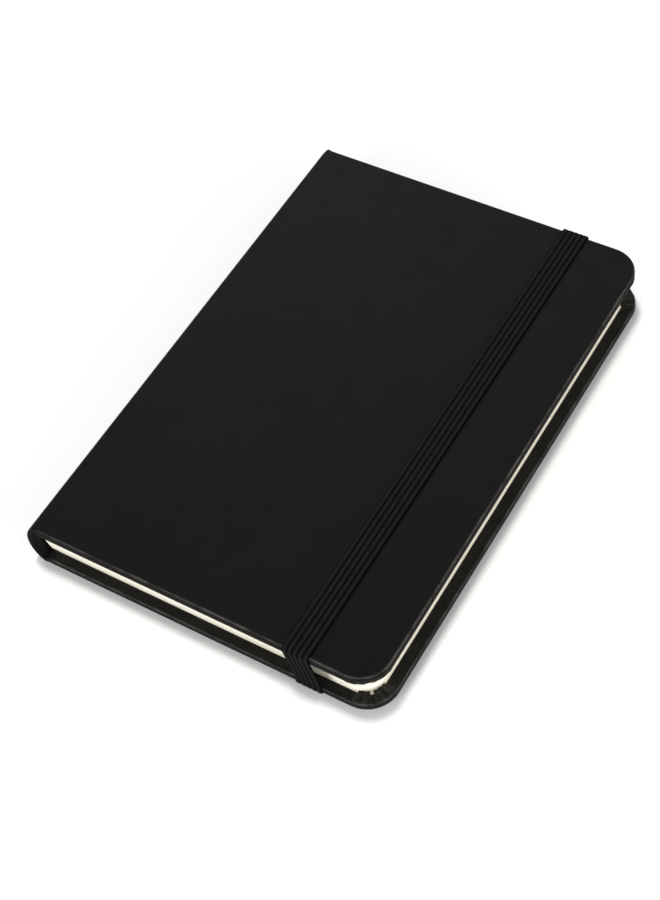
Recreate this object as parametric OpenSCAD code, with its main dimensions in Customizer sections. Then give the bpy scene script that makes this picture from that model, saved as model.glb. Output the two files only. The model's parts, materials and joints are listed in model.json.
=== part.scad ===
// Hard-cover pocket notebook with a sewn text block and an elastic closure.
//
// Frame: +X runs from the spine to the fore-edge, +Y from the tail to the head, +Z from the
// back cover up to the front cover. The origin is the centre of the box's bottom face, so the
// notebook lies on its back cover at z = 0. All lengths are in millimetres.

/* [Cover] */
// Height of both covers, tail to head
cover_h = 140; // [110:1:220]
// Width of both covers, spine edge to fore-edge
cover_w = 95.2; // [75:0.1:150]
// Thickness of one finished cover
cover_t = 2.1; // [1.8:0.1:3]
// Radius of the covers' fore-edge corners
corner_r = 8.1; // [3:0.1:12]
// Thickness of the leatherette skin
skin_t = 0.3; // [0.2:0.05:0.5]
// Width of the skin's turn-in on the inner face
turn_in_w = 12; // [8:1:18]
// Distance of the board inside the cover's spine edge
board_setback = 1.3; // [0.6:0.1:3]
// How far the front cover stops short of the back cover at the fore-edge
front_setback = 0.6; // [0:0.1:1]

/* [Spine] */
// How far the rounded spine stands out past the covers' spine edges
spine_bulge = 3; // [2:0.1:4]
// Thickness of the card strip inside the spine
strip_t = 0.8; // [0.5:0.1:1]
// Distance of the card strip's ends inside the covers' head and tail edges
strip_setback = 1; // [0.5:0.5:5]
// Clear gap between the swinging spine and its neighbours
hinge_gap = 0.3; // [0.2:0.05:0.5]

/* [Text block] */
// Distance of the page edges inside the covers' tail and head edges
page_inset = 3; // [2:0.1:4]
// Distance of the page edges inside the back cover's fore-edge
page_fore_inset = 3.3; // [2:0.1:4]
// Radius of the pastedowns' fore-edge corners, which show past the rounder pages
pastedown_corner_r = 4; // [1:1:7]
// Height of the space between the two covers
page_space = 10.1; // [8:0.1:20]
// Sewn signatures in each half of the text block
half_count = 6; // [3:1:8]
// Thickness of a flyleaf or a pastedown sheet
sheet_t = 0.15; // [0.1:0.05:0.3]
// Clear gap at the middle of the text block, where the notebook opens
middle_gap = 0.1; // [0.05:0.05:0.2]
// Stations at which the signatures are sewn
stitch_count = 5; // [3:1:7]

/* [Elastic] */
// Width of the woven elastic
elastic_w = 7; // [4:0.1:12]
// Thickness of the woven elastic
elastic_t = 0.6; // [0.4:0.1:1.2]
// Distance from the back cover's fore-edge to the middle of the strap
elastic_inset = 20.6; // [12:0.1:30]
// How much nearer to the fore-edge the elastic enters the back cover
elastic_lean = 1.7; // [0:0.1:4]

/* [Hidden] */
$fn = 96;

// Stack of the closed notebook, from the back cover up
total_t = 2 * cover_t + page_space;
mid_z = total_t / 2;
front_z = total_t - cover_t;
board_t = cover_t - 2 * skin_t;
block_z = cover_t + 2 * sheet_t;
block_t = page_space - 4 * sheet_t;
signature_t = (block_t - middle_gap) / (2 * half_count);

// Plan of the covers: the spine edges at spine_x, the fore-edges at fore_x behind and front_x
spine_x = -(cover_w - spine_bulge) / 2;
fore_x = spine_x + cover_w;
front_x = fore_x - front_setback;
half_h = cover_h / 2;
page_fore_x = fore_x - page_fore_inset;
page_half_h = half_h - page_inset;
page_corner_r = corner_r - 1;

// The spine is a round arc through both outer spine edges
spine_r = (pow(mid_z, 2) + pow(spine_bulge, 2)) / (2 * spine_bulge);
arc_x = spine_x - spine_bulge + spine_r;
strip_r = spine_r - skin_t;
thread_t = 0.25;
mull_t = 0.15;
lining_t = 0.2;
hollow_t = 0.27;
clear_t = 0.05;
station_inset = 12;
stitch_half_w = 0.5;
lining_r = strip_r - strip_t - hollow_t;
mull_r = lining_r - lining_t;
thread_r = mull_r - mull_t;
block_r = thread_r - thread_t - clear_t;

// Hinge lines of the case, at half a cover's thickness from its faces. The card strip stops
// short of the skin's ends, and the lining short of both, to swing clear of the covers.
hinge_z = cover_t / 2;
skin_foot_z = hinge_z + hinge_gap;
strip_foot_z = cover_t + hinge_gap;
lining_foot_z = strip_foot_z + 0.6;
lining_setback = 2;
mull_setback = 4;

// Elastic: the strap lies on the front cover, its sides slant to slots in the back cover
strap_x = fore_x - elastic_inset;
anchor_x = strap_x + elastic_lean;
strap_gap = 0.02;
side_gap = 0.05;
run_l = 12;
slot_w = 1;
tab_l = 10;
tab_t = 0.6;
window_depth = 0.5;

// Paper, card and leatherette colours
black = [0.05, 0.05, 0.05];
cream = [0.93, 0.9, 0.82];
card_grey = [0.55, 0.53, 0.5];
kraft = [0.72, 0.62, 0.48];
gauze = [0.9, 0.88, 0.82];

// Plan outline with square corners at the spine and round ones at the fore-edge
module plan(x_low, x_high, half, r) {
    translate([x_low, -half]) square([x_high - r - x_low, 2 * half]);
    translate([x_low, r - half]) square([x_high - x_low, 2 * (half - r)]);
    for (side = [-1, 1]) translate([x_high - r, side * (half - r)]) circle(r = r);
}

// Flat sheet or board with that outline
module sheet(z, t, x_low, x_high, half, r) {
    translate([0, 0, z]) linear_extrude(height = t) plan(x_low, x_high, half, r);
}

// Ring segment around the spine's arc, from r_in to r_out and from z_low to z_high
module spine_shell(r_in, r_out, z_low, z_high, half) {
    intersection() {
        translate([arc_x, 0, mid_z]) rotate([90, 0, 0]) difference() {
            cylinder(r = r_out, h = 2 * half, center = true);
            cylinder(r = r_in, h = 2 * half + 2, center = true);
        }
        translate([arc_x - spine_r - 1, -half - 1, z_low])
            cube([spine_r + 1, 2 * half + 2, z_high - z_low]);
    }
}

// One cover's board; edge_x is the cover's fore-edge
module board(z, edge_x) {
    sheet(z + skin_t, board_t, spine_x + board_setback, edge_x - skin_t, half_h - skin_t,
        corner_r - skin_t);
}

// Leatherette over one cover's outer face and edges, turned in on its inner face
module cover_skin(z, inner_z, edge_x) {
    difference() {
        sheet(z, cover_t, spine_x, edge_x, half_h, corner_r);
        board(z, edge_x);
        window(inner_z - window_depth, 2 * window_depth, edge_x);
    }
}

// Opening that the turn-ins leave free on a cover's inner face
module window(z, t, edge_x) {
    near_x = spine_x + board_setback;
    translate([near_x, turn_in_w - half_h, z])
        cube([edge_x - turn_in_w - near_x, cover_h - 2 * turn_in_w, t]);
}

// Endpaper pasted over one cover's inner face, filling the turn-ins' window
module pastedown(z, fill_z, edge_x) {
    sheet(z, sheet_t, spine_x + page_inset, page_fore_x, page_half_h, pastedown_corner_r);
    intersection() {
        window(fill_z, skin_t, edge_x);
        sheet(fill_z, skin_t, spine_x + page_inset, page_fore_x, page_half_h, pastedown_corner_r);
    }
}

// Layer of the text block, with its back edge on the block's round back
module page_layer(z, t) {
    intersection() {
        sheet(z, t, arc_x - block_r - 1, page_fore_x, page_half_h, page_corner_r);
        union() {
            translate([arc_x, 0, mid_z]) rotate([90, 0, 0])
                cylinder(r = block_r, h = cover_h, center = true);
            translate([arc_x, -half_h, 0]) cube([cover_w, cover_h, total_t]);
        }
    }
}

// Signatures are numbered from the front cover, on both sides of the middle gap
module signature(number) {
    from_front = (number - 1) * signature_t + (number > half_count ? middle_gap : 0);
    color(cream) page_layer(block_z + block_t - from_front - signature_t, signature_t);
}

// End of the elastic at one edge: a run along the back face, a riser through the slot in the
// board and a tab glued under the pastedown
module anchor_solid(side) {
    edge = half_h + side_gap + elastic_t;
    inner = half_h - run_l;
    mirror([0, side < 0 ? 1 : 0, 0]) translate([anchor_x - elastic_w / 2, 0, 0]) {
        translate([0, inner, 0]) cube([elastic_w, edge - inner, elastic_t]);
        translate([0, inner, 0]) cube([elastic_w, slot_w, cover_t - skin_t]);
        translate([0, inner - tab_l, cover_t - skin_t - tab_t]) cube([elastic_w, tab_l + slot_w, tab_t]);
    }
}

module elastic_anchor(side) {
    color(black) anchor_solid(side);
}

// Side of the elastic, from the back cover's edge up to the strap
module elastic_side(side) {
    half_w = elastic_w / 2;
    top_z = total_t + strap_gap + elastic_t;
    color(black) translate([0, side > 0 ? half_h + side_gap + elastic_t : -half_h - side_gap, 0])
        rotate([90, 0, 0]) linear_extrude(height = elastic_t) polygon([
            [anchor_x - half_w, elastic_t], [anchor_x + half_w, elastic_t],
            [strap_x + half_w, total_t], [strap_x + half_w, top_z],
            [strap_x - half_w, top_z], [strap_x - half_w, total_t]
        ]);
}

// Strap of the elastic across the front cover
module elastic_strap() {
    color(black) translate([strap_x - elastic_w / 2, -half_h - side_gap, total_t + strap_gap])
        cube([elastic_w, cover_h + 2 * side_gap, elastic_t]);
}

module back_board() {
    color(card_grey) difference() {
        board(0, fore_x);
        for (side = [-1, 1]) anchor_solid(side);
    }
}

module back_cover_skin() {
    color(black) difference() {
        cover_skin(0, cover_t, fore_x);
        for (side = [-1, 1]) anchor_solid(side);
    }
}

module back_pastedown() {
    color(cream) pastedown(cover_t, cover_t - skin_t, fore_x);
}

module back_flyleaf() {
    color(cream) page_layer(cover_t + sheet_t, sheet_t);
}

module front_board() {
    color(card_grey) board(front_z, front_x);
}

module front_cover_skin() {
    color(black) cover_skin(front_z, front_z, front_x);
}

module front_pastedown() {
    color(cream) pastedown(front_z - sheet_t, front_z, front_x);
}

module front_flyleaf() {
    color(cream) page_layer(front_z - 2 * sheet_t, sheet_t);
}

module spine_skin() {
    color(black) spine_shell(strip_r, spine_r, skin_foot_z, total_t - skin_foot_z, half_h);
}

module spine_strip() {
    strip_half = half_h - strip_setback;
    color(card_grey)
        spine_shell(strip_r - strip_t, strip_r, strip_foot_z, total_t - strip_foot_z, strip_half);
}

module spine_lining() {
    lining_half = page_half_h - lining_setback;
    color(kraft)
        spine_shell(mull_r, lining_r, lining_foot_z, total_t - lining_foot_z, lining_half);
}

module spine_mull() {
    mull_half = page_half_h - mull_setback;
    color(gauze) spine_shell(thread_r, mull_r, lining_foot_z, total_t - lining_foot_z, mull_half);
}

// Rows of stitches over the signatures' folds, one row at each sewing station
module sewing_thread() {
    first = station_inset - page_half_h;
    spacing = -2 * first / (stitch_count - 1);
    color(gauze) for (i = [0 : stitch_count - 1])
        translate([0, first + i * spacing, 0])
            spine_shell(thread_r - thread_t, thread_r, lining_foot_z, total_t - lining_foot_z,
                stitch_half_w);
}

back_board();
back_cover_skin();
back_pastedown();
back_flyleaf();
signature(7);  // signature_07
signature(8);  // signature_08
signature(9);  // signature_09
signature(10);  // signature_10
signature(11);  // signature_11
signature(12);  // signature_12
elastic_anchor(1);  // elastic_anchor_head
elastic_anchor(-1);  // elastic_anchor_tail
elastic_side(1);  // elastic_side_head
elastic_side(-1);  // elastic_side_tail
spine_skin();
spine_strip();
spine_lining();
spine_mull();
sewing_thread();
front_board();
front_cover_skin();
front_pastedown();
front_flyleaf();
signature(1);  // signature_01
signature(2);  // signature_02
signature(3);  // signature_03
signature(4);  // signature_04
signature(5);  // signature_05
signature(6);  // signature_06
elastic_strap();
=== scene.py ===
"""Pocket notebook with a rounded spine, a sewn text block and a woven elastic strap.

Everything is in metres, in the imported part's frame: +X from the spine to the fore-edge, +Y from
the tail to the head, +Z from the back cover up to the front cover.
"""

import json
import math

import bpy
import numpy as np
from mathutils import Matrix, Vector


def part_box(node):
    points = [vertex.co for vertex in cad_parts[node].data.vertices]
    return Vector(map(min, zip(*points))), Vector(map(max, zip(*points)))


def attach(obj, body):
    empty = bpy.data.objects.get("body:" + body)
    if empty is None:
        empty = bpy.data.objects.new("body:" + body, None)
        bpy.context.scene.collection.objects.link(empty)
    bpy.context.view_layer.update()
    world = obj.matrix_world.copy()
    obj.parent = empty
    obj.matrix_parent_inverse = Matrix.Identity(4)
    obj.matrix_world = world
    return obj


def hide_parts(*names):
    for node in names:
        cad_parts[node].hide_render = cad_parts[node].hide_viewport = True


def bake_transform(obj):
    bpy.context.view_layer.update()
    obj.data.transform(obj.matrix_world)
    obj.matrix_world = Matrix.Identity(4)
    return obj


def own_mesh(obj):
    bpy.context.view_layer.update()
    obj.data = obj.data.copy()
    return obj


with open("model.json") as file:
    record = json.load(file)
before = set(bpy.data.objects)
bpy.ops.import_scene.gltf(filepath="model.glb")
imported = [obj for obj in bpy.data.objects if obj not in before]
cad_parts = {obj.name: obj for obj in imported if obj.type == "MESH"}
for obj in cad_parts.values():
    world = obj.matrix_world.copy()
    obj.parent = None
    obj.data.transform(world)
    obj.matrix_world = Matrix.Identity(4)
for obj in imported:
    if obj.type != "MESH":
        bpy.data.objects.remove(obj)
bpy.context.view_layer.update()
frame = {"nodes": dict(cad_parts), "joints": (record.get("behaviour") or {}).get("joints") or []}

MM = 0.001

# ---------------------------------------------------------------- places taken from the frame
FRONT_LOW, FRONT_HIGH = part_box("front_cover_skin")
BACK_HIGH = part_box("back_cover_skin")[1]
SPINE_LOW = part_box("spine_skin")[0]
BLOCK_LOW, BLOCK_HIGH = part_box("signature_06")
STRAP_LOW, STRAP_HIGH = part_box("elastic_strap")
ANCHOR_LOW, ANCHOR_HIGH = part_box("elastic_anchor_head")
JOINTS = {joint["name"]: joint for joint in frame["joints"]}

SPINE_X = FRONT_LOW.x
HALF_H = FRONT_HIGH.y
TOTAL_T = FRONT_HIGH.z
MID_Z = TOTAL_T / 2
COVER_T = BACK_HIGH.z
CORNER_R = 8.1 * MM
BULGE = SPINE_X - SPINE_LOW.x
SPINE_R = (MID_Z ** 2 + BULGE ** 2) / (2 * BULGE)
ARC_X = SPINE_LOW.x + SPINE_R
HINGE_X = JOINTS["cover_open"]["pos_m"][0]

# Leatherette case: its rounded rims, the bends where the spine meets the covers, and the spine's
# wall, which is thinner at the head and the tail and ramps up to a cover's thickness
RIM_R = 0.7 * MM
FRONT_INNER_RIM_R = 0.15 * MM
BACK_INNER_RIM_R = 0.6 * MM
FRONT_BEND_R = 1.15 * MM
BACK_BEND_R = 3 * MM
SPINE_WALL = 1.12 * MM
SPINE_EDGE_WALL = 0.5 * MM
SPINE_EDGE_TAPER = 0.9 * MM
BOARD_RAMP_START = 0.6 * MM
BOARD_RAMP = 0.5 * MM
# The turn-in's bead: its height, and where it starts and how soon it is at its height, both as
# shares of the corner radius
FRONT_BEAD_H = 0.45 * MM
BACK_BEAD_H = 0.2 * MM
BEAD_START = 0.69
BEAD_RAMP = 0.04

# Folds of the turn-in at a corner: their height, their start and rise as shares of the corner
# radius, the degrees over which the fan begins and ends, and the valleys between the folds as
# (direction in degrees, half width in degrees, share of the height)
PLEAT_H = 0.36 * MM
PLEAT_START = 0.55
PLEAT_RAMP = 0.05
PLEAT_FAN_EDGE = 8
PLEAT_VALLEYS = ((14, 4, 0.5), (33, 4, 0.5), (49, 5, 1.2), (66, 4, 0.5), (80, 3, 0.4))

# Painted highlight on the leatherette, a lighter colour standing in for light caught there: over the
# inner faces, and on top of that along the folds. It fades out towards the spine
INNER_PAINTED_SHEEN = 0.12
FOLD_PAINTED_HIGHLIGHT = 0.4
PAINTED_HIGHLIGHT_FADE = 3 * MM

# Steps of the case's grid: round the spine, round a bend, beside it, over the rest of a cover
# each way, round a corner and round a rim
ARC_STEPS = 22
BEND_STEPS = 10
BESIDE_STEPS = 12
BESIDE_W = 3 * MM
COVER_STEPS = 16
LENGTH_STEPS = 14
CORNER_STEPS = 44
RIM_STEPS = 5
SHARP_ANGLE = math.radians(60)

# The pressed channels for the elastic's ends: the width of their sloping walls, and how far
# inside those the floor's own grid column lies
CHANNEL_WALL = 0.12 * MM
CHANNEL_TRIM = 0.02 * MM

# Paper: leaves in a signature, the page's corner, the gutter's width, uneven edges, ruled lines
LEAVES = 8
LEAF_GAP = 0.012 * MM
PAGE_CORNER_R = 7.1 * MM
PAGE_CORNER_STEPS = 6
PAGE_STEPS = 3
GUTTER_W = 9 * MM
GUTTER_STEPS = 12
PAGE_JITTER = 0.07 * MM
BLOCK_BACK_GAP = 0.02 * MM
RULE_PITCH = 6 * MM
RULE_HALF_SHARE = 0.022
RULE_REACH = 58.5 * MM
RULE_MARGIN = 1.5 * MM
RULE_STRENGTH = 0.7
# How level a face has to be, as its normal's height, to count as a page and not an edge
LEVEL_FACE = 0.7

# Elastic: its ribs and the grooves between them, its skew on the front cover, the bends over the
# covers' edges, the legs' sag between the covers, and where its ends stop
ELASTIC_W = STRAP_HIGH.x - STRAP_LOW.x
ELASTIC_T = STRAP_HIGH.z - STRAP_LOW.z
STRAP_X = (STRAP_LOW.x + STRAP_HIGH.x) / 2
ANCHOR_X = (ANCHOR_LOW.x + ANCHOR_HIGH.x) / 2
RIBS = 5
RIB_POINTS = 8
GROOVE_SHARE = 0.3
STRAP_SKEW = 0.35 * MM
TURN_R = 0.6 * MM
EDGE_GAP = 0.05 * MM
LEG_SAG = 0.25 * MM
END_MARGIN = 0.3 * MM
TURN_STEPS = 8
STRAP_STATIONS = 42
LEG_STEPS = 16
END_STATIONS = 8

rng = np.random.default_rng(7)


# ---------------------------------------------------------------- mesh helpers
def mesh_piece(name, points, faces, material, smooth=True):
    """A mesh object of its own in the scene's collection."""
    mesh = bpy.data.meshes.new(name)
    mesh.from_pydata([tuple(p) for p in points], [], [tuple(f) for f in faces])
    mesh.update()
    mesh.polygons.foreach_set("use_smooth", [smooth] * len(mesh.polygons))
    mesh.materials.append(material)
    piece = bpy.data.objects.new(name, mesh)
    bpy.context.scene.collection.objects.link(piece)
    return piece


def grid_faces(columns, rows, first=0, flip=False):
    """Quads over a grid of columns x rows points that starts at index first."""
    faces = []
    for i in range(columns - 1):
        for j in range(rows - 1):
            a = first + i * rows + j
            quad = (a, a + rows, a + rows + 1, a + 1)
            faces.append(quad[::-1] if flip else quad)
    return faces


def rim_of_grid(columns, rows):
    """Indices of a grid's outer loop, counter-clockwise seen from +Z."""
    tail = [i * rows for i in range(columns)]
    fore = [(columns - 1) * rows + j for j in range(1, rows)]
    head = [i * rows + rows - 1 for i in range(columns - 2, -1, -1)]
    near = [j for j in range(rows - 2, 0, -1)]
    return tail + fore + head + near


def loop_faces(lower, upper):
    """Quads between two closed loops of the same length, lower one first."""
    count = len(lower)
    return [
        (lower[k], lower[(k + 1) % count], upper[(k + 1) % count], upper[k])
        for k in range(count)
    ]


def plan_grid(x_stops, y_stops, reach, half, radius, inset):
    """Points of a grid over an outline with two round corners at its far end.

    inset draws the outline in on its tail, head and far sides, the near side stays.
    """
    x, y = np.meshgrid(x_stops, y_stops, indexing="ij")
    u = np.clip((x - (reach - radius)) / radius, 0, 1)
    v = np.clip((np.abs(y) - (half - radius)) / radius, 0, 1)
    spread = np.maximum(np.hypot(u, v), 1e-9)
    pull = np.where((u > 0) & (v > 0), np.maximum(u, v) / spread, 1.0)
    inner = radius - inset
    px = np.where(u > 0, reach - radius + inner * u * pull, x)
    py = np.sign(y) * np.where(v > 0, half - radius + inner * v * pull, np.abs(y))
    return px, py, u * pull, v * pull


def stops(*stretches):
    """One rising list of positions out of (start, end, steps) stretches."""
    values = [np.linspace(a, b, n + 1)[:-1] for a, b, n in stretches]
    return np.concatenate(values + [[stretches[-1][1]]])


# ---------------------------------------------------------------- materials
def new_material(name):
    """A node material with its tree and its shader."""
    material = bpy.data.materials.new(name)
    material.use_nodes = True
    tree = material.node_tree
    shader = tree.nodes["Principled BSDF"]
    return material, tree, shader


def node(tree, kind, **values):
    """A node with some of its inputs or settings given by name."""
    made = tree.nodes.new(kind)
    for key, value in values.items():
        if key in made.inputs:
            made.inputs[key].default_value = value
        else:
            setattr(made, key, value)
    return made


def coordinates(tree, scale=(1, 1, 1)):
    """Object coordinates, scaled, as a socket."""
    source = node(tree, "ShaderNodeTexCoord")
    mapping = node(tree, "ShaderNodeMapping")
    mapping.inputs["Scale"].default_value = scale
    tree.links.new(source.outputs["Object"], mapping.inputs["Vector"])
    return mapping.outputs["Vector"]


def noise(tree, vector, scale, detail=3.0, roughness=0.5):
    """Noise from 0 to 1, with scale in features per metre."""
    made = node(tree, "ShaderNodeTexNoise", Scale=scale, Detail=detail, Roughness=roughness)
    tree.links.new(vector, made.inputs["Vector"])
    return made.outputs["Fac"]


def ramp(tree, value, low, high, start=0.0, end=1.0):
    """Colour ramp from low to high as value goes from start to end."""
    made = tree.nodes.new("ShaderNodeValToRGB")
    made.color_ramp.elements[0].position = start
    made.color_ramp.elements[0].color = (*low, 1)
    made.color_ramp.elements[1].position = end
    made.color_ramp.elements[1].color = (*high, 1)
    tree.links.new(value, made.inputs["Fac"])
    return made.outputs["Color"]


def span(tree, value, low, high, start=0.0, end=1.0):
    """Number from low to high as value goes from start to end."""
    made = tree.nodes.new("ShaderNodeMapRange")
    for key, number in (("From Min", start), ("From Max", end), ("To Min", low), ("To Max", high)):
        made.inputs[key].default_value = number
    tree.links.new(value, made.inputs["Value"])
    return made.outputs["Result"]


def bump(tree, height, strength, distance, below=None):
    """Normals from a height, laid over the normals below."""
    made = node(tree, "ShaderNodeBump", Strength=strength, Distance=distance)
    tree.links.new(height, made.inputs["Height"])
    if below is not None:
        tree.links.new(below, made.inputs["Normal"])
    return made.outputs["Normal"]


def maths(tree, operation, *values):
    """Result of a maths node on numbers or sockets."""
    made = node(tree, "ShaderNodeMath", operation=operation)
    for k, value in enumerate(values):
        if isinstance(value, (int, float)):
            made.inputs[k].default_value = value
        else:
            tree.links.new(value, made.inputs[k])
    return made.outputs["Value"]


def leatherette():
    """Smooth matt polyurethane leatherette, nearly black, with a fine pebble and painted highlights
    on its rims, folds and inner faces.
    """
    material, tree, shader = new_material("leatherette")
    vector = coordinates(tree)
    clouds = noise(tree, vector, scale=55, detail=4, roughness=0.6)
    painted_sheen_patches = noise(tree, vector, scale=240, detail=5, roughness=0.65)
    black = ramp(tree, clouds, (0.0042, 0.0042, 0.0039), (0.0049, 0.0049, 0.0046), start=0.3, end=0.7)
    # Painted highlight: a point attribute, made patchy by a noise, mixes a lighter colour into the
    # near-black; it stands in for light caught on the rims, the folds and the inner faces
    wear = node(tree, "ShaderNodeAttribute", attribute_name="wear").outputs["Fac"]
    patchy = span(tree, painted_sheen_patches, low=0.25, high=1.0, start=0.4, end=0.62)
    mix = node(tree, "ShaderNodeMix", data_type="RGBA")
    # Colour of the painted highlight
    mix.inputs["B"].default_value = (0.068, 0.065, 0.058, 1)
    tree.links.new(maths(tree, "MULTIPLY", wear, patchy), mix.inputs["Factor"])
    tree.links.new(black, mix.inputs["A"])
    tree.links.new(mix.outputs["Result"], shader.inputs["Base Color"])
    gloss = span(tree, painted_sheen_patches, low=0.47, high=0.55, start=0.3, end=0.7)
    tree.links.new(gloss, shader.inputs["Roughness"])
    pebble = node(tree, "ShaderNodeTexVoronoi", Scale=2600.0)
    pebble.feature = "SMOOTH_F1"
    tree.links.new(vector, pebble.inputs["Vector"])
    grain = bump(tree, pebble.outputs["Distance"], strength=0.1, distance=0.04 * MM)
    swell = noise(tree, vector, scale=70, detail=2)
    waves = bump(tree, swell, strength=0.03, distance=0.3 * MM, below=grain)
    tree.links.new(waves, shader.inputs["Normal"])
    shader.inputs["IOR"].default_value = 1.2
    shader.inputs["Specular IOR Level"].default_value = 0.5
    return material


def paper(name, low, high, ruled=False):
    """Uncoated cream paper with faint fibres and painted shade on its level faces; a writing page has
    fine grey rules.
    """
    material, tree, shader = new_material(name)
    vector = coordinates(tree)
    fibres = noise(tree, vector, scale=900, detail=6, roughness=0.7)
    sheets = noise(tree, coordinates(tree, (30, 30, 9000)), scale=1.0, detail=2)
    tone = maths(tree, "ADD", maths(tree, "MULTIPLY", fibres, 0.45),
                 maths(tree, "MULTIPLY", sheets, 0.55))
    # Painted shade: faces that lie level get their tone multiplied down to 0.8, so the block's edges
    # read lighter than its pages' faces
    facing = node(tree, "ShaderNodeSeparateXYZ")
    surface = node(tree, "ShaderNodeNewGeometry")
    tree.links.new(surface.outputs["Normal"], facing.inputs["Vector"])
    level = maths(tree, "ABSOLUTE", facing.outputs["Z"])
    painted_level_shade = node(tree, "ShaderNodeMix", data_type="RGBA", blend_type="MULTIPLY")
    painted_level_shade.inputs["B"].default_value = (0.8, 0.795, 0.78, 1)
    tree.links.new(span(tree, level, low=0, high=1, start=0.3, end=0.9), painted_level_shade.inputs["Factor"])
    tree.links.new(ramp(tree, tone, low, high, start=0.3, end=0.7), painted_level_shade.inputs["A"])
    colour = painted_level_shade.outputs["Result"]
    if ruled:
        place = node(tree, "ShaderNodeSeparateXYZ")
        tree.links.new(vector, place.inputs["Vector"])
        row = maths(tree, "FRACT", maths(tree, "DIVIDE", place.outputs["Y"], RULE_PITCH))
        off_line = maths(tree, "ABSOLUTE", maths(tree, "SUBTRACT", row, 0.5))
        line = maths(tree, "LESS_THAN", off_line, RULE_HALF_SHARE)
        flat = maths(tree, "GREATER_THAN", level, LEVEL_FACE)
        from_middle = maths(tree, "ABSOLUTE", place.outputs["Y"])
        inside = maths(tree, "LESS_THAN", from_middle, RULE_REACH)
        short = maths(tree, "LESS_THAN", place.outputs["X"], BLOCK_HIGH.x - RULE_MARGIN)
        mask = maths(tree, "MULTIPLY", maths(tree, "MULTIPLY", line, flat),
                     maths(tree, "MULTIPLY", inside, short))
        mix = node(tree, "ShaderNodeMix", data_type="RGBA")
        mix.inputs["B"].default_value = (0.2, 0.2, 0.2, 1)
        tree.links.new(maths(tree, "MULTIPLY", mask, RULE_STRENGTH), mix.inputs["Factor"])
        tree.links.new(colour, mix.inputs["A"])
        colour = mix.outputs["Result"]
    tree.links.new(colour, shader.inputs["Base Color"])
    tree.links.new(span(tree, fibres, low=0.82, high=0.95), shader.inputs["Roughness"])
    tree.links.new(bump(tree, fibres, strength=0.25, distance=0.03 * MM), shader.inputs["Normal"])
    shader.inputs["Specular IOR Level"].default_value = 0.2
    return material


def woven(name, low, high, thread, lean, roughness, ribbed=False):
    """Cloth of crossing threads, leaning as in a braid; ribbed cloth has painted shade between its
    ribs.
    """
    material, tree, shader = new_material(name)
    place = node(tree, "ShaderNodeSeparateXYZ")
    tree.links.new(coordinates(tree), place.inputs["Vector"])
    along = maths(tree, "ADD", place.outputs["Y"], place.outputs["Z"])
    across = maths(tree, "PINGPONG", place.outputs["X"], ELASTIC_W / RIBS / 2)
    slant = maths(tree, "ADD", along, maths(tree, "MULTIPLY", across, lean))
    weft = maths(tree, "DIVIDE", maths(tree, "PINGPONG", slant, thread), thread)
    warp_w = thread * 0.8
    warp = maths(tree, "DIVIDE", maths(tree, "PINGPONG", place.outputs["X"], warp_w), warp_w)
    fuzz = noise(tree, coordinates(tree), scale=2400, detail=3, roughness=0.6)
    weave = maths(tree, "MULTIPLY", maths(tree, "ADD", weft, warp), 0.5)
    height = maths(tree, "ADD", maths(tree, "MULTIPLY", weave, 0.75),
                   maths(tree, "MULTIPLY", fuzz, 0.5))
    tone = height
    if ribbed:
        # Painted shade: the tone falls to a tenth in the grooves between the ribs, where shade would
        # fall
        crown = node(tree, "ShaderNodeAttribute", attribute_name="crown").outputs["Fac"]
        lit = span(tree, crown, low=0.1, high=1.0, start=0.2, end=0.9)
        tone = maths(tree, "MULTIPLY", height, lit)
    tree.links.new(ramp(tree, tone, low, high, start=0.1, end=0.9), shader.inputs["Base Color"])
    tree.links.new(bump(tree, height, strength=0.7, distance=0.12 * MM), shader.inputs["Normal"])
    shader.inputs["Roughness"].default_value = roughness
    shader.inputs["Specular IOR Level"].default_value = 0.08
    return material


def fibre_board(name, low, high):
    """Pressed board or kraft paper, with long fibres and flecks."""
    material, tree, shader = new_material(name)
    fibres = noise(tree, coordinates(tree, (1, 0.25, 1)), scale=1500, detail=6, roughness=0.75)
    tree.links.new(ramp(tree, fibres, low, high, start=0.35, end=0.65), shader.inputs["Base Color"])
    tree.links.new(bump(tree, fibres, strength=0.4, distance=0.05 * MM), shader.inputs["Normal"])
    shader.inputs["Roughness"].default_value = 0.9
    shader.inputs["Specular IOR Level"].default_value = 0.2
    return material


LEATHER = leatherette()
PAGE = paper("page_paper", (0.87, 0.83, 0.71), (0.96, 0.93, 0.83), ruled=True)
ENDPAPER = paper("endpaper", (0.86, 0.81, 0.68), (0.94, 0.9, 0.79))
ELASTIC = woven("elastic", (0.001, 0.001, 0.001), (0.016, 0.016, 0.0155),
                thread=0.22 * MM, lean=0.9, roughness=0.8, ribbed=True)
THREAD = woven("thread", (0.5, 0.47, 0.4), (0.85, 0.82, 0.74),
               thread=0.12 * MM, lean=1.2, roughness=0.8)
GAUZE = woven("mull", (0.32, 0.3, 0.25), (0.82, 0.79, 0.7),
              thread=0.4 * MM, lean=0.0, roughness=0.9)
BOARD = fibre_board("cover_board", (0.16, 0.15, 0.135), (0.3, 0.285, 0.26))
KRAFT = fibre_board("kraft_lining", (0.3, 0.2, 0.11), (0.45, 0.32, 0.19))


# ---------------------------------------------------------------- leatherette case
# The case is built flat, half of it at a time, and wrapped along its cross-section: s runs from
# the middle of the spine round the bend to the fore-edge, and depth goes in from the outer face.
class Bend:
    """The bend between the spine's arc and one flat cover, tangent to both."""

    def __init__(self, radius):
        self.radius = radius
        self.centre_z = MID_Z - radius
        self.centre_x = ARC_X - math.sqrt((SPINE_R - radius) ** 2 - self.centre_z ** 2)
        self.start_angle = math.atan2(self.centre_z, ARC_X - self.centre_x)
        self.start = SPINE_R * self.start_angle
        self.end = self.start + radius * (math.pi / 2 - self.start_angle)


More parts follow.
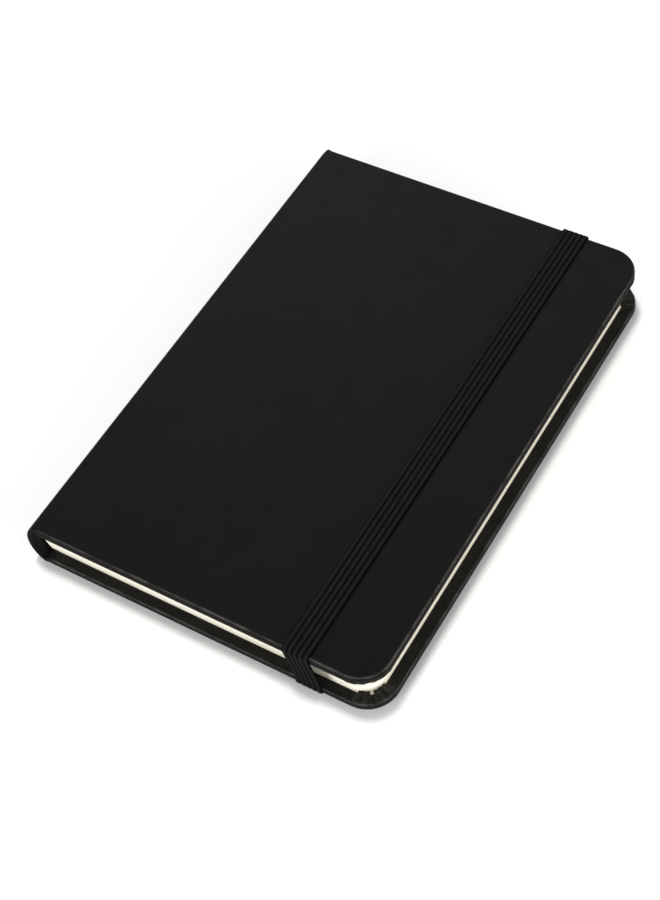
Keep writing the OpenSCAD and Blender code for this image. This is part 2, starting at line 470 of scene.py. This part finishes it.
def wrap(s, y, depth, bend, up):
    """Points of the flat case laid round its cross-section; up is 1 in front and -1 behind."""
    turn = bend.start_angle + (s - bend.start) / bend.radius
    on_arc = s < bend.start
    on_bend = (s >= bend.start) & (s < bend.end)
    angle = np.where(on_arc, s / SPINE_R, np.where(on_bend, turn, math.pi / 2))
    normal_x, normal_z = -np.cos(angle), np.sin(angle)
    x = np.where(on_arc, ARC_X + SPINE_R * normal_x, bend.centre_x + bend.radius * normal_x)
    z = np.where(on_arc, SPINE_R * normal_z, bend.centre_z + bend.radius * normal_z)
    x = np.where(s >= bend.end, bend.centre_x + s - bend.end, x)
    z = np.where(s >= bend.end, MID_Z, z)
    return np.stack([x - depth * normal_x, y, MID_Z + up * (z - depth * normal_z)], axis=-1)


def case_thickness(s, y, bend):
    """Thin in the spine, thinner at its ends, a full cover's thickness from the board's edge on."""
    from_end = np.clip((HALF_H - np.abs(y)) / SPINE_EDGE_TAPER, 0, 1)
    wall = SPINE_EDGE_WALL + (SPINE_WALL - SPINE_EDGE_WALL) * from_end
    from_spine = bend.centre_x + s - bend.end - SPINE_X
    share = np.clip((from_spine - BOARD_RAMP_START) / BOARD_RAMP, 0, 1)
    return wall + (COVER_T - wall) * share


def channel_depth(x, y):
    """Depth of the two pressed channels that hold the elastic's ends in the back face."""
    across = np.clip((ELASTIC_W / 2 + CHANNEL_WALL - np.abs(x - ANCHOR_X)) / CHANNEL_WALL, 0, 1)
    along = np.clip((np.abs(y) - ANCHOR_LOW.y + CHANNEL_WALL) / CHANNEL_WALL, 0, 1)
    return ELASTIC_T * across * along


def pleat_fold(u, v):
    """Folds of the turn-in, fanned round a fore-edge corner: 1 on a fold, 0 in a valley."""
    radius = np.hypot(u, v)
    angle = np.degrees(np.arctan2(v, np.maximum(u, 1e-9)))
    fold = np.clip(angle / PLEAT_FAN_EDGE, 0, 1) * np.clip((90 - angle) / PLEAT_FAN_EDGE, 0, 1)
    for middle, width, depth in PLEAT_VALLEYS:
        fold = fold * np.clip(1 - depth * np.exp(-(((angle - middle) / width) ** 2)), 0, 1)
    inside_corner = (u > 0) & (v > 0)
    fan = np.clip((radius - PLEAT_START) / PLEAT_RAMP, 0, 1)
    return np.where(inside_corner, fold * fan, 0.0)


def bead_share(u, v):
    """Where the turn-in stands up along a cover's tail, head and fore edges: 1 there, 0 inside."""
    return np.clip((np.hypot(u, v) - BEAD_START) / BEAD_RAMP, 0, 1)


def rim_rings(inner_r):
    """(inset, share of the thickness, painted highlight) down a cover's rounded rim, outer to inner
    face.

    The painted highlight, standing in for light caught on the rim, peaks halfway round a bend. A
    crisp inner bend, under half the outer radius, has none.
    """
    outer, inner = [], []
    for k in range(RIM_STEPS + 1):
        turn = k * math.pi / 2 / RIM_STEPS
        painted_outer_highlight = math.sin(2 * turn) ** 3
        painted_inner_highlight = painted_outer_highlight if inner_r > RIM_R / 2 else 0.0
        share = RIM_R / COVER_T * (1 - math.cos(turn))
        outer.append((RIM_R * (1 - math.sin(turn)), share, painted_outer_highlight))
        share = 1 - inner_r / COVER_T * (1 - math.sin(turn))
        inner.append((inner_r * (1 - math.cos(turn)), share, painted_inner_highlight))
    return outer + inner


def case_half(name, up, fore_x, bend, inner_rim_r, bead_h, with_channels):
    """Half of the leatherette case, from the middle of the spine round one cover."""
    reach = bend.end + fore_x - bend.centre_x
    channel_s = [ANCHOR_X - bend.centre_x + bend.end + side * (ELASTIC_W / 2 + gap)
                 for side in (-1, 1) for gap in (-CHANNEL_TRIM, CHANNEL_WALL)]
    beside_end = bend.end + BESIDE_W
    s_stops = np.unique(np.concatenate([
        stops((0, bend.start, ARC_STEPS), (bend.start, bend.end, BEND_STEPS),
              (bend.end, beside_end, BESIDE_STEPS), (beside_end, reach - CORNER_R, COVER_STEPS),
              (reach - CORNER_R, reach, CORNER_STEPS)),
        channel_s,
    ]))
    corner_y = HALF_H - CORNER_R
    channel_y = [ANCHOR_LOW.y - CHANNEL_WALL, ANCHOR_LOW.y]
    y_half = np.unique(np.concatenate([
        stops((0, corner_y, LENGTH_STEPS), (corner_y, HALF_H, CORNER_STEPS)), channel_y]))
    y_stops = np.concatenate([-y_half[:0:-1], y_half])
    columns, rows = len(s_stops), len(y_stops)
    rim = rim_of_grid(columns, rows)
    points, faces, loops = [], [], []

    def layer(inset, share):
        s, y, u, v = plan_grid(s_stops, y_stops, reach, HALF_H, CORNER_R, inset)
        thick = case_thickness(s, y, bend)
        inner = max(0.0, 2 * share - 1)
        fold = pleat_fold(u, v)
        depth = thick * share + (PLEAT_H * fold + bead_h * bead_share(u, v)) * inner
        if with_channels:
            pressed = channel_depth(bend.centre_x + s - bend.end, y)
            depth = depth + pressed * (1 - share)
        # Painted sheen: a lighter tone over the inner faces, more on the folds' flanks, standing in
        # for light caught there
        painted_sheen_patches = inner * np.clip(INNER_PAINTED_SHEEN + FOLD_PAINTED_HIGHLIGHT * 4 * fold * (1 - fold), 0, 1)
        return wrap(s, y, depth, bend, up).reshape(-1, 3), painted_sheen_patches.reshape(-1)

    rings = rim_rings(inner_rim_r)
    painted_point_highlight = []
    for k, (inset, share, wear) in enumerate(rings):
        grid, painted_sheen_patches = layer(inset, share)
        first = len(points)
        if k in (0, len(rings) - 1):
            points.extend(grid)
            faces += grid_faces(columns, rows, first, flip=(k > 0))
            loops.append([first + i for i in rim])
        else:
            points.extend(grid[rim])
            painted_sheen_patches = painted_sheen_patches[rim]
            loops.append(list(range(first, first + len(rim))))
        from_spine = np.array([point[0] for point in points[first:]]) - bend.centre_x
        # Painted highlight per point, the rim's or the faces', whichever is more, fading out towards
        # the spine
        painted_point_highlight.extend(np.maximum(wear, painted_sheen_patches) * np.clip(from_spine / PAINTED_HIGHLIGHT_FADE, 0, 1))
    for upper, lower in zip(loops, loops[1:]):
        faces += loop_faces(lower, upper)
    if up < 0:
        faces = [face[::-1] for face in faces]
    piece = mesh_piece(name, points, faces, LEATHER)
    piece.data.attributes.new("wear", "FLOAT", "POINT").data.foreach_set("value", painted_point_highlight)
    piece.data.set_sharp_from_angle(angle=SHARP_ANGLE)
    return piece


# ---------------------------------------------------------------- paper
BLOCK_R = ARC_X - BLOCK_LOW.x


def back_edge_x(z):
    """Where a leaf at height z ends on the text block's round back."""
    return ARC_X - math.sqrt(BLOCK_R ** 2 - (z - MID_Z) ** 2)


def leaf_points(z, thick, back_x, fore_x, half):
    """Points of one leaf, a grid below and one above, and the grid's columns and rows."""
    gutter_end = HINGE_X + GUTTER_W
    corner_x, corner_y = fore_x - PAGE_CORNER_R, half - PAGE_CORNER_R
    x_stops = stops((back_x, gutter_end, GUTTER_STEPS), (gutter_end, corner_x, PAGE_STEPS),
                    (corner_x, fore_x, PAGE_CORNER_STEPS))
    y_half = stops((0, corner_y, PAGE_STEPS), (corner_y, half, PAGE_CORNER_STEPS))
    y_stops = np.concatenate([-y_half[:0:-1], y_half])
    x, y, _, _ = plan_grid(x_stops, y_stops, fore_x, half, PAGE_CORNER_R, 0)
    layers = [np.stack([x, y, np.full_like(x, level)], axis=-1).reshape(-1, 3)
              for level in (z, z + thick)]
    return np.concatenate(layers), len(x_stops), len(y_stops)


def leaf_stack(name, low_z, high_z, count, material, page_half, page_fore):
    """A stack of separate leaves with slightly uneven edges."""
    points, faces = [], []
    pitch = (high_z - low_z) / count
    for k in range(count):
        z = low_z + k * pitch + LEAF_GAP / 2
        uneven = rng.uniform(-1, 1, 3) * PAGE_JITTER
        back_x = back_edge_x(z + pitch / 2) + BLOCK_BACK_GAP
        fore_x = page_fore + uneven[0] - PAGE_JITTER
        half = page_half - PAGE_JITTER + uneven[1]
        grid, columns, rows = leaf_points(z, pitch - LEAF_GAP, back_x, fore_x, half)
        first = len(points)
        size = columns * rows
        points.extend(grid)
        faces += grid_faces(columns, rows, first, flip=True)
        faces += grid_faces(columns, rows, first + size)
        rim = rim_of_grid(columns, rows)
        faces += loop_faces([first + i for i in rim], [first + size + i for i in rim])
    piece = mesh_piece(name, points, faces, material, smooth=False)
    return piece


def bend_in_gutter(piece, in_front):
    """Bakes the leaves' transform into their mesh; front and back are treated alike."""
    if in_front:
        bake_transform(piece)
    else:
        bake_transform(piece)


# ---------------------------------------------------------------- woven elastic
def rib_section():
    """Outline of the elastic: (across, height from -0.5 to 0.5, how near to a rib's crown)."""
    rib_w = ELASTIC_W / RIBS
    top = []
    for rib in range(RIBS):
        for k in range(RIB_POINTS):
            phase = (k + 0.5) / RIB_POINTS
            across = -ELASTIC_W / 2 + (rib + phase) * rib_w
            crown = math.sqrt(1 - (2 * phase - 1) ** 2)
            top.append((across, 0.5 - GROOVE_SHARE * (1 - crown), math.sin(math.pi * phase)))
    underside = [(across, -0.5 + (0.5 - height) / 2, crown)
                 for across, height, crown in reversed(top)]
    return top + underside


def sweep_elastic(name, path, mirrored=False):
    """The ribbed section carried along a path of (x, y, z, normal y, normal z).

    mirrored turns the faces of a path that is the other one's mirror image.
    """
    section = rib_section()
    count = len(section)
    points, faces = [], []
    for x, y, z, normal_y, normal_z in path:
        for across, height, _ in section:
            lift = height * ELASTIC_T
            points.append((x + across, y + lift * normal_y, z + lift * normal_z))
    for k in range(len(path) - 1):
        lower = [k * count + i for i in range(count)]
        upper = [(k + 1) * count + i for i in range(count)]
        faces += loop_faces(lower, upper)
    faces.append(tuple(range(count))[::-1])
    last = (len(path) - 1) * count
    faces.append(tuple(last + i for i in range(count)))
    if mirrored:
        faces = [face[::-1] for face in faces]
    piece = mesh_piece(name, points, faces, ELASTIC)
    piece.data.set_sharp_from_angle(angle=SHARP_ANGLE)
    crowns = piece.data.attributes.new("crown", "FLOAT", "POINT")
    crowns.data.foreach_set("value", [crown for _, _, crown in section] * len(path))
    return piece


MID_R = TURN_R + ELASTIC_T / 2
TURN_Y = HALF_H + EDGE_GAP - TURN_R
TOP_TURN_Z = STRAP_LOW.z - TURN_R
LOW_TURN_Z = ELASTIC_T + TURN_R


def turn_path(x, centre_z, start, end):
    """Path stations round an edge, from angle start to end, measured from +Y towards +Z."""
    path = []
    for k in range(TURN_STEPS + 1):
        angle = math.radians(start + (end - start) * k / TURN_STEPS)
        ny, nz = math.cos(angle), math.sin(angle)
        path.append((x, TURN_Y + MID_R * ny, centre_z + MID_R * nz, ny, nz))
    return path


def strap_path():
    """Along the front cover, a little askew."""
    flat_z = STRAP_LOW.z + ELASTIC_T / 2
    return [(STRAP_X + STRAP_SKEW * y / TURN_Y, y, flat_z, 0, 1)
            for y in np.linspace(-TURN_Y, TURN_Y, STRAP_STATIONS)]


def leg_path(side):
    """Over the front cover's edge and down to the back cover, leaning to the slot there."""
    top_x = STRAP_X + side * STRAP_SKEW
    path = [(x, side * y, z, side * ny, nz)
            for x, y, z, ny, nz in turn_path(top_x, TOP_TURN_Z, 90, 0)]
    for k in range(1, LEG_STEPS + 1):
        share = k / LEG_STEPS
        lean = share * share * (3 - 2 * share)
        z = TOP_TURN_Z + (LOW_TURN_Z - TOP_TURN_Z) * share
        sag = LEG_SAG * math.sin(math.pi * share)
        path.append((top_x + (ANCHOR_X - top_x) * lean, side * (TURN_Y + MID_R - sag), z, side, 0))
    return path


def end_path(side):
    """Round the back cover's edge and along its pressed channel to the slot."""
    turn = turn_path(ANCHOR_X, LOW_TURN_Z, 0, -90)
    run = [(ANCHOR_X, y, ELASTIC_T / 2, 0, -1)
           for y in np.linspace(TURN_Y, ANCHOR_LOW.y + END_MARGIN, END_STATIONS)[1:]]
    return [(x, side * y, z, side * ny, nz) for x, y, z, ny, nz in turn + run]


def build_case():
    """The front half of the leatherette and the back one; they meet in the middle of the spine."""
    front = case_half("front_leather", 1, FRONT_HIGH.x, Bend(FRONT_BEND_R), FRONT_INNER_RIM_R,
                      FRONT_BEAD_H, with_channels=False)
    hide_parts("front_cover_skin", "spine_skin")
    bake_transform(front)
    back = case_half("back_leather", -1, BACK_HIGH.x, Bend(BACK_BEND_R), BACK_INNER_RIM_R,
                     BACK_BEAD_H, with_channels=True)
    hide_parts("back_cover_skin")
    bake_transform(back)


def build_pages():
    """Twelve signatures and the two flyleaves."""
    page_fore = BLOCK_HIGH.x
    page_half = BLOCK_HIGH.y
    for number in range(1, 13):
        cad = f"signature_{number:02d}"
        low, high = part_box(cad)
        stack = leaf_stack(f"{cad}_leaves", low.z, high.z, LEAVES, PAGE,
                           page_half, page_fore)
        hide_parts(cad)
        bend_in_gutter(stack, in_front=number <= 6)
    for side in ("front", "back"):
        low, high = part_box(f"{side}_flyleaf")
        leaf = leaf_stack(f"{side}_flyleaf_sheet", low.z, high.z, 1, ENDPAPER,
                          page_half, page_fore)
        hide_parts(f"{side}_flyleaf")
        bend_in_gutter(leaf, in_front=side == "front")


def build_elastic():
    """The strap, its two legs and its two ends, which lie in the back cover."""
    strap = sweep_elastic("elastic_strap_woven", strap_path())
    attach(strap, "elastic")
    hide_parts("elastic_strap")
    for side, where in ((1, "head"), (-1, "tail")):
        leg = sweep_elastic(f"elastic_leg_{where}", leg_path(side), mirrored=side < 0)
        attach(leg, "back_cover")
        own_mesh(leg)
        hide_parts(f"elastic_side_{where}")
        end = sweep_elastic(f"elastic_end_{where}", end_path(side), mirrored=side < 0)
        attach(end, "back_cover")
        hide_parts(f"elastic_anchor_{where}")


def dress_cad_nodes():
    """Finishes for the CAD pieces that stay as they are."""
    finishes = {
        "back_board": BOARD, "front_board": BOARD, "spine_strip": BOARD,
        "spine_lining": KRAFT, "spine_mull": GAUZE, "sewing_thread": THREAD,
        "back_pastedown": ENDPAPER, "front_pastedown": ENDPAPER,
    }
    for name, material in finishes.items():
        mesh = frame["nodes"][name].data
        mesh.materials.clear()
        mesh.materials.append(material)


# ---------------------------------------------------------------- studio
def make_camera():
    """Above the notebook's tail and fore-edge, turned a little, as a catalogue shot is."""
    azimuth, elevation, roll = (math.radians(a) for a in (38.588, 53.289, -9.955))
    distance = 0.4498
    aim = Vector((SPINE_X + 46.02 * MM, -9.87 * MM, 0))
    back = Vector((math.sin(azimuth) * math.cos(elevation),
                   -math.cos(azimuth) * math.cos(elevation), math.sin(elevation)))
    level = Vector((math.cos(azimuth), math.sin(azimuth), 0))
    rise = back.cross(level)
    right = math.cos(roll) * level + math.sin(roll) * rise
    up = math.cos(roll) * rise - math.sin(roll) * level
    data = bpy.data.cameras.new("camera")
    data.sensor_width = 36
    data.lens = 71.72
    data.clip_start = 0.01
    data.clip_end = 20
    camera = bpy.data.objects.new("camera", data)
    bpy.context.scene.collection.objects.link(camera)
    turn = Matrix((right, up, back)).transposed()
    camera.matrix_world = Matrix.Translation(aim + back * distance) @ turn.to_4x4()
    bpy.context.scene.camera = camera


def area_light(name, place, size, power):
    """A round lamp aimed at the origin."""
    data = bpy.data.lights.new(name, "AREA")
    data.shape = "DISK"
    data.size = size
    data.energy = power
    lamp = bpy.data.objects.new(name, data)
    bpy.context.scene.collection.objects.link(lamp)
    lamp.location = place
    lamp.rotation_euler = (-Vector(place)).to_track_quat("-Z", "Y").to_euler()
    return lamp


def make_studio():
    """A white world, one lamp that the cover mirrors, three that it doesn't, and a pale floor."""
    world = bpy.data.worlds.new("studio")
    world.use_nodes = True
    world.node_tree.nodes["Background"].inputs["Color"].default_value = (1, 1, 1, 1)
    world.node_tree.nodes["Background"].inputs["Strength"].default_value = 0.36
    bpy.context.scene.world = world
    area_light("back", (-0.74, 0.92, 0.92), size=0.8, power=3.9)
    for lamp in (area_light("key", (-0.31, 0.25, 2.0), size=0.34, power=21),
                 area_light("front_tail", (-0.25, -0.95, 0.14), size=0.5, power=8),
                 area_light("front_fore", (0.95, -0.2, 0.14), size=0.5, power=10)):
        lamp.visible_glossy = False
    floor_material, tree, shader = new_material("floor")
    shader.inputs["Base Color"].default_value = (0.93, 0.93, 0.93, 1)
    shader.inputs["Roughness"].default_value = 1.0
    shader.inputs["Specular IOR Level"].default_value = 0.0
    reach = 3.0
    corners = [(-reach, -reach, 0), (reach, -reach, 0), (reach, reach, 0), (-reach, reach, 0)]
    floor = mesh_piece("floor", corners, [(0, 1, 2, 3)], floor_material)
    floor.visible_glossy = False


bpy.context.scene.view_settings.view_transform = "Standard"
make_camera()
make_studio()
build_case()
build_pages()
build_elastic()
dress_cad_nodes()
